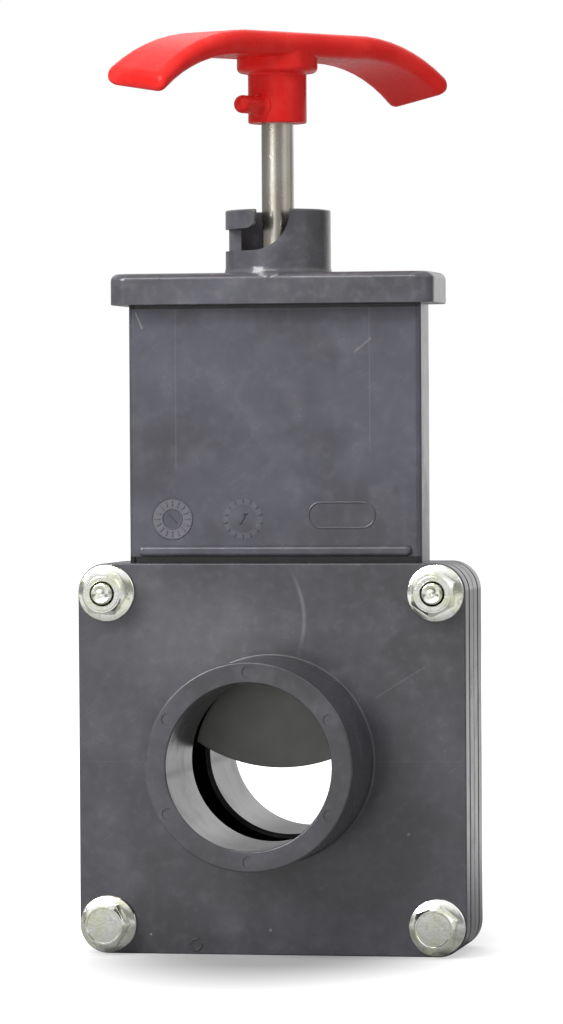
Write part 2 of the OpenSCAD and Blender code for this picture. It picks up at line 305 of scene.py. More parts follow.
def upright(points, y, z=0.0):
    """Places an outline in X and Z at a distance along the flow."""
    return [(across, y, z + rise) for across, rise in points]


def level(points, z):
    """Places an outline in X and Y at a height."""
    return [(across, along, z) for across, along in points]


def block(name, low, high):
    """Square-edged solid between two corners."""
    outline = [(low[0], low[2]), (high[0], low[2]), (high[0], high[2]), (low[0], high[2])]
    return prism(name, upright(outline, low[1]), (0, high[1] - low[1], 0))


def boolean(piece, tool, operation):
    """Joins, cuts or crops the piece with the tool, which is used up."""
    take(piece)
    modifier = piece.modifiers.new("shape", "BOOLEAN")
    modifier.object = tool
    modifier.operation = operation
    modifier.solver = "EXACT"
    bpy.ops.object.modifier_apply(modifier=modifier.name)
    bpy.data.objects.remove(tool)
    edit(piece)
    tidy_mesh()


def join(piece, *others):
    """Makes the others part of the piece, without cutting or merging."""
    take(piece)
    for other in others:
        other.select_set(True)
    bpy.ops.object.join()
    return piece


def duplicate(piece, name):
    """Copy of a piece, with its own mesh."""
    take(piece)
    bpy.ops.object.duplicate(linked=False)
    copy = bpy.context.object
    copy.name = name
    return copy


def shift(x, y, z):
    """Move by millimetres, as a matrix."""
    return Matrix.Translation(Vector((x, y, z)) * MM)


def settle(piece, place):
    """Moves and turns a piece, and keeps the result in its mesh."""
    take(piece)
    piece.matrix_world = place
    bpy.ops.object.transform_apply(location=True, rotation=True, scale=True)


def mirrored(piece, name, axis):
    """Mirror image of a piece across the middle plane of that axis."""
    copy = duplicate(piece, name)
    settle(copy, Matrix.Scale(-1, 4, axis))
    edit(copy)
    tidy_mesh()
    return copy


def hand_over(piece, node, paint, angle=32):
    """Shades the piece, paints it, and lets it stand for its frame node."""
    take(piece)
    bpy.ops.object.shade_smooth_by_angle(angle=math.radians(angle))
    even = piece.modifiers.new("even", "WEIGHTED_NORMAL")
    even.keep_sharp = True
    bpy.ops.object.modifier_apply(modifier=even.name)
    piece.data.materials.clear()
    piece.data.materials.append(paint)
    body = [name for name, nodes in frame["record"]["behaviour"]["bodies"].items() if node in nodes][0]
    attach(piece, body)
    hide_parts(node)


# ---------- body ----------


def body_shell():
    """Plate and spigot in one skin, open nowhere: the spun spigot and bore, bridged to the rim."""
    foot = 0.6
    seal_seat = 10.3
    profile = arc(SPIGOT_R + foot, HALF_T + foot, foot, 270, 180, 6)
    profile += arc(SPIGOT_R - 0.5, SPIGOT_END - 0.5, 0.5, 0, 90, 4)
    profile += arc(BORE_R + 0.4, SPIGOT_END - 0.4, 0.4, 90, 180, 3)
    profile += [(BORE_R, seal_seat + 0.9), (BORE_R + 0.6, seal_seat)]
    profile += [(SEAL_R + FIT, seal_seat), (SEAL_R + FIT, 0)]
    shell = lathe("front_half", profile, (0, 0, BORE_Z), FORWARD)
    rim = trace("rim", upright(rounded(BODY_W, BODY_HIGH.z, BODY_CORNER_R, 12, 12), 0, BORE_Z))
    bpy.ops.mesh.select_all(action="SELECT")
    bpy.ops.mesh.edge_face_add()
    bpy.ops.mesh.delete(type="ONLY_FACE")
    bpy.ops.mesh.select_all(action="SELECT")
    for depth in (GROOVE_NEAR, GROOVE_FAR - GROOVE_NEAR, HALF_T - GROOVE_FAR):
        pull((0, -depth, 0))
    join(shell, rim)
    edit(shell)
    for depth in (HALF_T, 0):
        pick("EDGE", lambda a, b: abs(a.y + depth) < 0.01 and abs(b.y + depth) < 0.01)
        bpy.ops.mesh.bridge_edge_loops()
    tidy_mesh()
    return shell


def on_rim(*points):
    """True when every point lies on the outer rim and none on the spigot or the bore."""
    return all(abs(point.x) > BODY_W * 0.42 or abs(point.z - BORE_Z) > BORE_Z * 0.84 for point in points)


def is_groove_edge(a, b):
    """True for the edges that run along the groove, at its mouth and on its floor."""
    off = min(abs(a.y + GROOVE_NEAR), abs(a.y + GROOVE_FAR))
    return a.y == b.y and off < 0.01


def rim_details():
    """Rounds the front edge, sinks the groove round the rim and chamfers the parting edge."""
    pick("EDGE", lambda a, b: max(a.y, b.y) < 0.1 - HALF_T and on_rim(a, b))
    bevel(0.45)
    pick("FACE", lambda c, n: -GROOVE_FAR < c.y < -GROOVE_NEAR and abs(n.y) < 0.1 and on_rim(c))
    swell(-0.7)
    pick("EDGE", is_groove_edge)
    bevel(0.15, 2)
    pick("EDGE", lambda a, b: min(a.y, b.y) > -0.01 and on_rim(a, b), 60)
    bevel(0.35, 1)


def gate_hollow():
    """Tool for the flat space that the gate slides in, open at the top into the bonnet's pocket."""
    reach = GATE_HIGH.x + 0.2
    nose_r = 38.2
    depth = 1.2
    top = BONNET_LOW.z + 4
    side = math.degrees(math.acos(reach / nose_r))
    outline = arc(0, BORE_Z, nose_r, 180 + side, 360 - side, 24)
    outline += [(reach, top), (-reach, top)]
    return prism("gate_hollow", upright(outline, -depth), (0, depth + 1, 0))


def bolt_holes():
    """Tool for the four bolt holes."""
    hole_r = 3.3
    profile = [(0, -1), (hole_r, -1), (hole_r, HALF_T + 1), (0, HALF_T + 1)]
    hole = lathe("bolt_holes", profile, (0, 0, 0), FORWARD, 32)
    copies = []
    for x in (-1, 1):
        for z in (-1, 1):
            copy = duplicate(hole, "bolt_hole")
            settle(copy, shift(x * BOLT_X, 0, BORE_Z + z * BOLT_RISE))
            copies.append(copy)
    bpy.data.objects.remove(hole)
    return join(*copies)


def ejector_marks():
    """Tool for the six shallow round marks in the spigot's end face."""
    ring_r = (SPIGOT_R + BORE_R) / 2
    top = (0, -SPIGOT_END, BORE_Z + ring_r)
    profile = [(0, -0.3), (1.4, -0.3), (1.5, 0.5), (0, 0.5)]
    marks = lathe("ejector_marks", profile, top, FORWARD, 24)
    repeat(marks, 6, (0, 0, BORE_Z))
    return marks


def body_half():
    """Front half of the body, hollowed for the gate, the hanger, the bonnet and the bolts."""
    half = body_shell()
    rim_details()
    channel = block("channel", (-9, -4.4, BONNET_LOW.z - 12), (9, 1, BONNET_LOW.z + 1))
    side, front = BONNET_HIGH.x + FIT, BONNET_FACE - FIT
    pocket = block("pocket", (-side, front, BONNET_LOW.z - FIT), (side, 1, BODY_HIGH.z + 1))
    boolean(half, gate_hollow(), "DIFFERENCE")
    boolean(half, channel, "DIFFERENCE")
    boolean(half, pocket, "DIFFERENCE")
    boolean(half, bolt_holes(), "DIFFERENCE")
    boolean(half, ejector_marks(), "DIFFERENCE")
    close_gaps(half)
    return half


def gate_vestige():
    """Small broken-off sprue mark low on the front plate."""
    profile = [(0, -0.5), (1.7, -0.5), (1.7, 0.1), (1.5, 0.3), (1.2, 0.3), (1.0, 0.12), (0, 0.1)]
    return lathe("vestige", profile, (-18.9, -HALF_T, 2.3), FORWARD, 32)


# ---------- seals, gland and gate ----------


def seal():
    """Front seal ring, set back a little from the bore."""
    back = -SEAL_LOW.y
    front = -SEAL_HIGH.y
    inner_r = BORE_R + 1.0
    inner = [(inner_r + 0.2, front), (inner_r, front + 0.2), (inner_r, back - 0.3), (inner_r + 0.3, back)]
    outer = [(SEAL_R - 0.4, back), (SEAL_R, back - 0.4), (SEAL_R, front + 0.4), (SEAL_R - 0.4, front)]
    return lathe("front_seal_ring", inner + outer + inner[:1], (0, 0, BORE_Z), FORWARD)


def gland():
    """Rubber bush at the bottom of the collar, with a raised lip round the rod."""
    inner = ROD_R + 0.12
    outer = GLAND_HIGH.x
    low, high = GLAND_LOW.z, GLAND_HIGH.z
    lip = high - 0.6
    profile = [(inner, low), (outer - 0.3, low), (outer, low + 0.3), (outer, lip - 0.3)]
    profile += [(outer - 0.3, lip), (inner + 2.2, lip), (inner + 1.4, high), (inner + 0.3, high)]
    profile += [(inner, high - 0.3), (inner, low)]
    return lathe("gland_bush", profile, (0, 0, 0), UP)


def gate():
    """Blade with a round lower edge."""
    nose_r = GATE_HIGH.x + 5
    side = math.degrees(math.acos(GATE_HIGH.x / nose_r))
    outline = arc(0, GATE_LOW.z + nose_r, nose_r, 180 + side, 360 - side, 48)
    outline += [(GATE_HIGH.x, GATE_HIGH.z), (-GATE_HIGH.x, GATE_HIGH.z)]
    blade = prism("blade", upright(outline, GATE_LOW.y), (0, GATE_HIGH.y - GATE_LOW.y, 0))
    pick("EDGE", lambda a, b: abs(a.y - b.y) < 0.01)
    bevel(0.35, 2)
    return blade


# ---------- bonnet ----------


def bonnet_bar():
    """Raised bar across the bonnet's front face."""
    root = BONNET_FACE + 1
    outline = upright(rounded(BAR_W, BAR_H, 1.3, 8), root, BAR_LOW + BAR_H / 2)
    bar = prism("bar", outline, (0, BONNET_LOW.y - root, 0))
    pick("EDGE", lambda a, b: a.y < BONNET_LOW.y + 0.01 and b.y < BONNET_LOW.y + 0.01)
    bevel(1.0, 5)
    return bar


def raised_tick(x, z, length, width, turn):
    """Small raised mark on the bonnet's front face, turned in degrees about its own middle."""
    low = (-width / 2, BONNET_FACE - 0.28, -length / 2)
    mark = block("mark", low, (width / 2, BONNET_FACE + 0.4, length / 2))
    pick("FACE", lambda c, n: n.y < -0.9)
    bpy.ops.transform.resize(value=(0.4, 1, 0.75))
    settle(mark, shift(x, 0, z) @ Matrix.Rotation(math.radians(turn), 4, "Y"))
    return mark


def ring_of_ticks(x, z, radius, length, width, count):
    """Ring of ticks, each pointing away from its middle."""
    ticks = raised_tick(x, z + radius, length, width, 0)
    repeat(ticks, count, (x, 0, z))
    return ticks


def raised_ring(x, z, radius):
    """Fine round line raised from the bonnet's front face."""
    inner, outer = radius - 0.22, radius + 0.22
    profile = [(inner, -0.4), (outer, -0.4), (outer, 0.0), (radius + 0.06, 0.2), (radius - 0.06, 0.2)]
    profile += [(inner, 0.0), (inner, -0.4)]
    return lathe("ring", profile, (x, BONNET_FACE, z), FORWARD, 48)


def date_inserts():
    """Two mould inserts with plain ticks, one with a slotted middle and one with a pointer."""
    left, right, z = LEFT_INSERT_X, RIGHT_INSERT_X, INSERT_Z
    parts = [raised_ring(left, z, 5.0), raised_ring(left, z, 2.45)]
    parts += [ring_of_ticks(left, z, 3.75, 1.7, 0.6, 16), raised_tick(left, z, 3.6, 0.75, -45)]
    parts += [ring_of_ticks(right, z, 4.4, 1.2, 0.65, 14), raised_tick(right, z, 3.8, 1.0, 30)]
    parts += [raised_tick(right + 0.45, z + 1.1, 1.8, 0.9, 75)]
    return parts


def oval_frame():
    """Faint raised oval line to the right of the inserts, left empty."""
    oval = trace("oval", upright(rounded(16.7, 6.6, 3.2, 10), BONNET_FACE + 0.25, INSERT_Z + 0.8))
    bpy.ops.mesh.select_all(action="SELECT")
    bpy.ops.transform.translate(value=(16.55 * MM, 0, 0))
    bpy.ops.mesh.edge_face_add()
    bpy.ops.mesh.select_mode(type="FACE")
    bpy.ops.mesh.inset(thickness=0.45 * MM)
    bpy.ops.mesh.delete(type="FACE")
    bpy.ops.mesh.select_all(action="SELECT")
    pull((0, -0.5, 0))
    pick("EDGE", lambda a, b: max(a.y, b.y) < BONNET_FACE - 0.2, 60)
    bevel(0.15, 2)
    tidy_mesh()
    return oval


def bonnet_seam(low, high):
    """Tool for a narrow recess in the bonnet's front and back between two heights."""
    end = BONNET_HIGH.x - 1.2
    left_in = BONNET_D / 2 - SEAM_DEPTH
    tool = block("seam", (-end, -BONNET_D, low), (end, BONNET_D, high))
    core = block("seam_core", (-BONNET_W, -left_in, low - 1), (BONNET_W, left_in, high + 1))
    boolean(tool, core, "DIFFERENCE")
    return tool


def bonnet():
    """Flat tube with a bar on each face and the mould's marks on the front."""
    height = BONNET_HIGH.z - BONNET_LOW.z
    outline = level(rounded(BONNET_W, BONNET_D, 1.4, 5), BONNET_LOW.z)
    tube = prism("bonnet_tube", outline, (0, 0, height))
    pick("EDGE", lambda a, b: min(a.z, b.z) > BONNET_HIGH.z - 0.01)
    bevel(0.3, 2)
    inside = rounded(BONNET_W - 2 * BONNET_WALL, BONNET_D - 2 * BONNET_WALL, 0.6, 3)
    boolean(tube, prism("inside", level(inside, BONNET_LOW.z - 1), (0, 0, height + 2)), "DIFFERENCE")
    bar = bonnet_bar()
    back_bar = mirrored(bar, "back_bar", (0, 1, 0))
    boolean(tube, bar, "UNION")
    boolean(tube, back_bar, "UNION")
    boolean(tube, bonnet_seam(TOP_SEAM_LOW, CAP_LOW.z + 0.2), "DIFFERENCE")
    boolean(tube, bonnet_seam(BODY_HIGH.z - 0.2, BAR_LOW - 0.05), "DIFFERENCE")
    return join(tube, oval_frame(), *date_inserts())


# ---------- cap and lock collar ----------


def cap_block():
    """Cap with rounded upright corners and a rounded top edge."""
    plan = level(rounded(CAP_HIGH.x * 2, CAP_HIGH.y * 2, 4.5, 8), CAP_LOW.z)
    solid = prism("cap", plan, (0, 0, CAP_TOP - CAP_LOW.z))
    pick("EDGE", lambda a, b: min(a.z, b.z) > CAP_TOP - 0.01)
    bevel(1.8, 6)
    pick("EDGE", lambda a, b: max(a.z, b.z) < CAP_LOW.z + 0.01)
    bevel(0.3, 2)
    return solid


def collar():
    """Round wall of the lock collar, with a flared foot sunk in the cap."""
    well_r = COLLAR_R - COLLAR_WALL
    root = CAP_TOP - 2.4
    foot = [(0.35, 0.1), (0.2, 0.5), (0.08, 1.0), (0, 1.7)]
    profile = [(well_r, root), (COLLAR_R + 0.35, root)]
    profile += [(COLLAR_R + flare, CAP_TOP + rise) for flare, rise in foot]
    profile += arc(COLLAR_R - 0.5, COLLAR_TOP - 0.5, 0.5, 0, 90, 4)
    profile += arc(well_r + 0.35, COLLAR_TOP - 0.35, 0.35, 90, 180, 3)
    profile.append((well_r, root))
    return lathe("collar", profile, (0, 0, 0), UP, 128)


def slot_front():
    """Tool for the slot's open front: floor, curved ramp, straight side and the hook's round corner."""
    above = COLLAR_TOP + 3.2
    hook_r = 2.4
    outline = [(SLOT_START_X, SLOT_FLOOR)]
    outline += arc(SLOT_END_X, SLOT_FLOOR + RAMP_R, RAMP_R, -90, 0, 20)
    outline += [(SLOT_END_X + RAMP_R, above), (HOOK_X, above)]
    outline += arc(HOOK_X - hook_r, SLOT_ROOF + hook_r, hook_r, 0, -90, 6)
    outline.append((SLOT_START_X, SLOT_ROOF))
    return prism("slot_front", upright(outline, SLOT_START_Y), (0, -SLOT_START_Y, 0))


def bonnet_cap():
    """Cap and collar in one, with the bayonet slot, the rod's hole and the bonnet's socket."""
    solid = cap_block()
    boolean(solid, collar(), "UNION")
    hole_r = ROD_R + 0.5
    below, above = CAP_LOW.z - 1.8, CAP_TOP + 1.6
    profile = [(0, below), (hole_r, below), (hole_r, above), (0, above)]
    hole = lathe("hole", profile, (0, 0, 0), UP, 48)
    corner = Vector((BONNET_HIGH.x + FIT, BONNET_D / 2 + FIT, BONNET_HIGH.z + FIT))
    socket = block("socket", (-corner.x, -corner.y, CAP_LOW.z - 1), corner)
    slot_start = (SLOT_START_X, SLOT_START_Y, SLOT_FLOOR)
    slot_back = block("slot_back", slot_start, (SLOT_END_X, 2.2, SLOT_ROOF))
    boolean(solid, hole, "DIFFERENCE")
    boolean(solid, socket, "DIFFERENCE")
    boolean(solid, slot_front(), "DIFFERENCE")
    boolean(solid, slot_back, "DIFFERENCE")
    return solid


# ---------- rod and handle ----------


def rod():
    """Rod with a chamfered top and its turned neck."""
    neck_top = ROD_LOW.z + 5.6
    profile = [(0, ROD_LOW.z), (NECK_R - 0.3, ROD_LOW.z), (NECK_R, ROD_LOW.z + 0.3), (NECK_R, neck_top)]
    profile += [(ROD_R - 0.3, neck_top), (ROD_R, neck_top + 0.3), (ROD_R, ROD_HIGH.z - 0.3)]
    profile += [(ROD_R - 0.3, ROD_HIGH.z), (0, ROD_HIGH.z)]
    return lathe("rod_bar", profile, (0, 0, 0), UP, 64)


def grip_place(side, turn, thick, inset):
    """Where a section of the grip goes: how far round its end, how thick and how much smaller."""
    along = GRIP_AXIS * side
    outward = along * math.sin(turn) + UP * math.cos(turn)
    centre = along * GRIP_FLAT + GRIP_AXIS * GRIP_ASIDE + UP * (GRIP_TOP - GRIP_END_R)
    middle = centre + outward * (GRIP_END_R - thick / 2)
    across = UP.cross(GRIP_AXIS)
    turned = Matrix((GRIP_AXIS, across, outward)).transposed().to_4x4()
    smaller = Matrix.Diagonal((1, 1 - 2 * inset / GRIP_W, (thick - 2 * inset) / GRIP_T, 1))
    return Matrix.Translation(middle * MM) @ turned @ smaller


def grip_end(side):
    """Places of the sections of one end: round the bend, thinner outwards, then in to a round nose."""
    nose = 2.1
    nose_turn = nose / (GRIP_END_R - GRIP_END_T / 2)
    bend_steps = 8
    nose_steps = 5
    places = []
    for step in range(bend_steps + 1):
        share = step / bend_steps
        thick = GRIP_T + (GRIP_END_T - GRIP_T) * share
        places.append(grip_place(side, (GRIP_SWEEP - nose_turn) * share, thick, 0))
    for step in range(1, nose_steps + 1):
        lean = math.radians(90 / nose_steps * step)
        turn = GRIP_SWEEP - nose_turn * (1 - math.sin(lean))
        places.append(grip_place(side, turn, GRIP_END_T, nose * (1 - math.cos(lean))))
    return places


def grip():
    """Round-edged bar through its sections, flat in the middle and bent down at both ends."""
    outline = [(0, across, rise) for across, rise in rounded(GRIP_W, GRIP_T, 2.8, 7)]
    section = trace("grip", outline + outline[:1])
    tidy_mesh()
    sections = []
    for place in grip_end(-1)[::-1] + grip_end(1):
        copy = duplicate(section, "grip_section")
        settle(copy, place)
        sections.append(copy)
    bpy.data.objects.remove(section)
    bar = join(*sections)
    edit(bar)
    bpy.ops.mesh.bridge_edge_loops()
    close_gaps(bar)
    return bar


def hub():
    """Hub and shoulder below the grip, with the rod's socket."""
    socket_r = ROD_R + 0.03
    profile = [(0, ROD_HIGH.z), (socket_r, ROD_HIGH.z), (socket_r, HUB_LOW + 0.5), (ROD_R + 0.4, HUB_LOW)]
    profile += arc(HUB_R - 0.4, HUB_LOW + 0.4, 0.4, -90, 0, 3)
    profile += arc(HUB_R + 0.6, SHOULDER_LOW - 0.6, 0.6, 180, 90, 3)
    profile += arc(SHOULDER_R - 1.3, SHOULDER_LOW + 1.3, 1.3, -90, 0, 5)
    profile += [(SHOULDER_R, GRIP_TOP - 3), (SHOULDER_R - 0.65, GRIP_TOP - 2), (0, GRIP_TOP - 2)]
    return lathe("hub", profile, (0, 0, 0), UP, 96)


def peg():
    """Locking peg with a rounded tip and a small fillet where it leaves the hub."""
    tip_r = 1.7
    profile = [(0, 5), (3.1, 5), (3.0, 7.0), (2.5, 7.35), (2.25, 7.9), (PEG_R, 8.4)]
    profile += arc(PEG_R - tip_r, PEG_END - tip_r, tip_r, 0, 90, 6)
    profile.append((0, PEG_END))
    return lathe("peg", profile, (0, 0, PEG_Z), PEG_AXIS, 48)


def handle():
    """Handle moulded in one: grip, shoulder, hub and peg."""
    whole = grip()
    boolean(whole, hub(), "UNION")
    boolean(whole, peg(), "UNION")
    return whole


# ---------- bolts and nuts ----------


def hex_block(height):
    """Hexagon with its outer corners turned off, standing on a flange."""
    corner = HALF_FLATS / math.cos(math.radians(30))
    outline = arc(0, 0, corner, 0, 300, 5)
    solid = prism("hex", upright(outline, -1), (0, 1 - height, 0))
    pick("EDGE", lambda a, b: abs(a.y - b.y) > 1)
    bevel(0.25, 2)
    dish = height - 0.12
    dome = [(0, dish), (4.1, dish), (4.25, height), (4.6, height), (4.72, dish)]
    dome += [(6.2, height - 0.95), (6.2, 0.5), (0, 0.5)]
    boolean(solid, lathe("dome", dome, (0, 0, 0), FORWARD, 72), "INTERSECT")
    return solid


def flange():
    """Flange with a steep rim, a shallow cone up to the hexagon and a toothed bearing face."""
    edge = FLANGE_R - 0.15
    profile = [(0, 0), (5.4, 0), (edge - 0.1, 0), (edge, 0.15), (edge, 0.75), (edge - 0.2, 0.98)]
    profile += [(6.35, 1.12), (5.75, 1.35), (4.9, 1.5), (4.7, 2.0), (0, 2.0)]
    disc = lathe("flange", profile, (0, 0, 0), FORWARD, 72)
    tooth = math.tau / 36

    def on_tooth(point):
        """True for every second vertex on the outside of the bearing face."""
        count = round(math.atan2(point.z, point.x) / tooth * 2)
        return point.y > -0.2 and point.xz.length > 6.8 and count % 2 == 0

    pick("VERT", on_tooth)
    bpy.ops.transform.translate(value=(0, -0.28 * MM, 0))
    return disc


def flanged_hex(height):
    """Flange with its hexagon."""
    solid = hex_block(height)
    boolean(solid, flange(), "UNION")
    return solid


def bolt():
    """Bolt along the flow with its head at the front: head, shank and rolled thread."""
    shank_r, root_r, crest_r = 3, 2.55, 2.98
    thread_start = -20
    solid = flanged_hex(HEAD_H)
    profile = [(0, 2), (shank_r, 2), (shank_r, thread_start)]
    for turn in range(11):
        profile += [(root_r, thread_start - 0.5 - turn), (crest_r, thread_start - 1 - turn)]
    profile += [(2.3, 0.5 - BOLT_END), (2.15, -BOLT_END), (1.7, 0.1 - BOLT_END), (1.1, 0.45 - BOLT_END)]
    profile += [(0.4, 0.3 - BOLT_END), (0, 0.4 - BOLT_END)]
    boolean(solid, lathe("shank", profile, (0, 0, 0), FORWARD, 48), "UNION")
    settle(solid, shift(0, -HALF_T, 0))
    return solid


def nut():
    """Nut behind the body, with its thread's hole and countersink."""
    hole_r = 3.05
    mouth_r = hole_r + 0.2
    solid = flanged_hex(NUT_H)
    profile = [(0, -1), (hole_r, -1), (hole_r, NUT_H - 0.2), (mouth_r, NUT_H)]
    profile += [(mouth_r, NUT_H + 1), (0, NUT_H + 1)]
    boolean(solid, lathe("thread_hole", profile, (0, 0, 0), FORWARD, 48), "DIFFERENCE")
    settle(solid, shift(0, -HALF_T, 0))
    return solid


def fasten(pattern, name, x, z, turn, at_back):
    """Copies a bolt or nut to its corner, turned about its own axis."""
    copy = duplicate(pattern, name + "_steel")
    place = shift(x * BOLT_X, 0, BORE_Z + z * BOLT_RISE)
    if at_back:
        place = place @ Matrix.Rotation(math.pi, 4, "Z")
        turn = -turn
    settle(copy, place @ Matrix.Rotation(math.radians(-turn), 4, "Y"))
    return copy


# ---------- finishes ----------


class Wire:
    """An output socket of a finish. Arithmetic on it adds Math nodes."""

    def __init__(self, finish, socket):
        self.finish = finish
        self.socket = socket

    def math(self, operation, first, second):
        """A Math node on two values or wires."""
        return self.finish.node("Math", {"operation": operation}, {0: first, 1: second})

    def __add__(self, other):
        return self.math("ADD", self, other)

    def __radd__(self, other):
        return self.math("ADD", other, self)

    def __sub__(self, other):
        return self.math("SUBTRACT", self, other)

    def __rsub__(self, other):
        return self.math("SUBTRACT", other, self)

    def __mul__(self, other):
        return self.math("MULTIPLY", self, other)

    def __rmul__(self, other):
        return self.math("MULTIPLY", other, self)

    def __truediv__(self, other):
        return self.math("DIVIDE", self, other)

    def __pow__(self, other):
        return self.math("POWER", self, other)

    def __abs__(self):
        return self.math("ABSOLUTE", self, 0.0)


class Finish:
    """A material, or the world, and its nodes."""

    def __init__(self, name, kind=bpy.data.materials):
        self.material = kind.new(name)
        self.material.use_nodes = True
        self.tree = self.material.node_tree
        self.tree.nodes.clear()

    def node(self, kind, settings=None, inputs=None, output=0):
        """Any node, from its type, its settings, and the values or links of its sockets."""
        made = self.tree.nodes.new("ShaderNode" + kind)
        for name, value in (settings or {}).items():
            setattr(made, name, value)
        for name, value in (inputs or {}).items():
            if isinstance(value, Wire):
                self.tree.links.new(value.socket, made.inputs[name])
            else:
                made.inputs[name].default_value = value
        return Wire(self, made.outputs[output])

    def place(self, stretch=(1, 1, 1), lean=0):
        """Place on the piece in millimetres, leaned about Y in degrees and stretched along its axes."""
        inputs = {"Vector": self.node("TexCoord", output="Object"), "Angle": math.radians(lean)}
        scale = [factor / MM for factor in stretch]
        turned = self.node("VectorRotate", {"rotation_type": "Y_AXIS"}, inputs)
        return self.node("Mapping", {}, {"Vector": turned, "Scale": scale})

    def noise(self, size, detail=3.0, stretch=(1, 1, 1), lean=0):
        """Cloudy values around one half, with patches of about that size in millimetres."""
        inputs = {"Vector": self.place(stretch, lean), "Scale": 1 / size, "Detail": detail}
        return self.node("TexNoise", {}, inputs)

    def step(self, value, low, high):
        """0 below low and 1 above high, smooth in between."""
        inputs = {"Value": value, "From Min": low, "From Max": high}
        return self.node("MapRange", {"interpolation_type": "SMOOTHSTEP"}, inputs)

    def mix(self, share, first, second):
        """Blend of two colours."""
        inputs = {0: share, 6: (*first, 1) if isinstance(first, tuple) else first}
        inputs[7] = (*second, 1) if isinstance(second, tuple) else second
        return self.node("Mix", {"data_type": "RGBA"}, inputs, 2)

    def bump(self, height, depth):
        """Normal from a height of 0 to 1 that stands for that depth in millimetres."""
        return self.node("Bump", {}, {"Height": height, "Distance": depth * MM, "Strength": 1.0})

    def split(self, vector):
        """X, Y and Z of a place or a direction."""
        return [self.node("SeparateXYZ", {}, {"Vector": vector}, axis) for axis in "XYZ"]

    def axes(self):
        """X, Y and Z on the piece in millimetres."""
        return self.split(self.place())

    def ray(self, kind):
        """1 for rays of that kind, 0 for others."""
        return self.node("LightPath", output="Is %s Ray" % kind)

    def seen(self):
        """1 for what the camera sees, straight or through something clear."""
        return self.ray("Camera") + self.ray("Transmission")

    def line(self, x, z, start, end, width):
        """1 on a straight line between two points in X and Z, fading to 0 at its width."""
        run = Vector(end) - Vector(start)
        along = ((x - start[0]) * run.x + (z - start[1]) * run.y) / run.length_squared
        held = self.node("Clamp", {}, {"Value": along})
        away = (x - start[0] - held * run.x) ** 2.0 + (z - start[1] - held * run.y) ** 2.0
        return 1 - self.step(away, 0.0, width * width)

    def weld_line(self, x, z):
        """Soft pale line, bowed to the right, where the melt met above the spigot."""
        rise = z - 84.2
        bow = 8.1 - rise * 0.13 - rise ** 2.0 * 0.023
        ends = self.step(z, 72.0, 80.0) * (1 - self.step(z, 86.0, 95.0))
        return (1 - self.step(abs(x - bow), 0.1, 0.75)) * ends

    def close(self, inputs):
        """Ends the finish in its shader."""
        return self.end(self.node("BsdfPrincipled", {}, inputs))

    def end(self, shader, kind="Material"):
        """Links the last shader to the surface."""
        made = self.tree.nodes.new("ShaderNodeOutput" + kind)
        self.tree.links.new(shader.socket, made.inputs["Surface"])
        return self.material


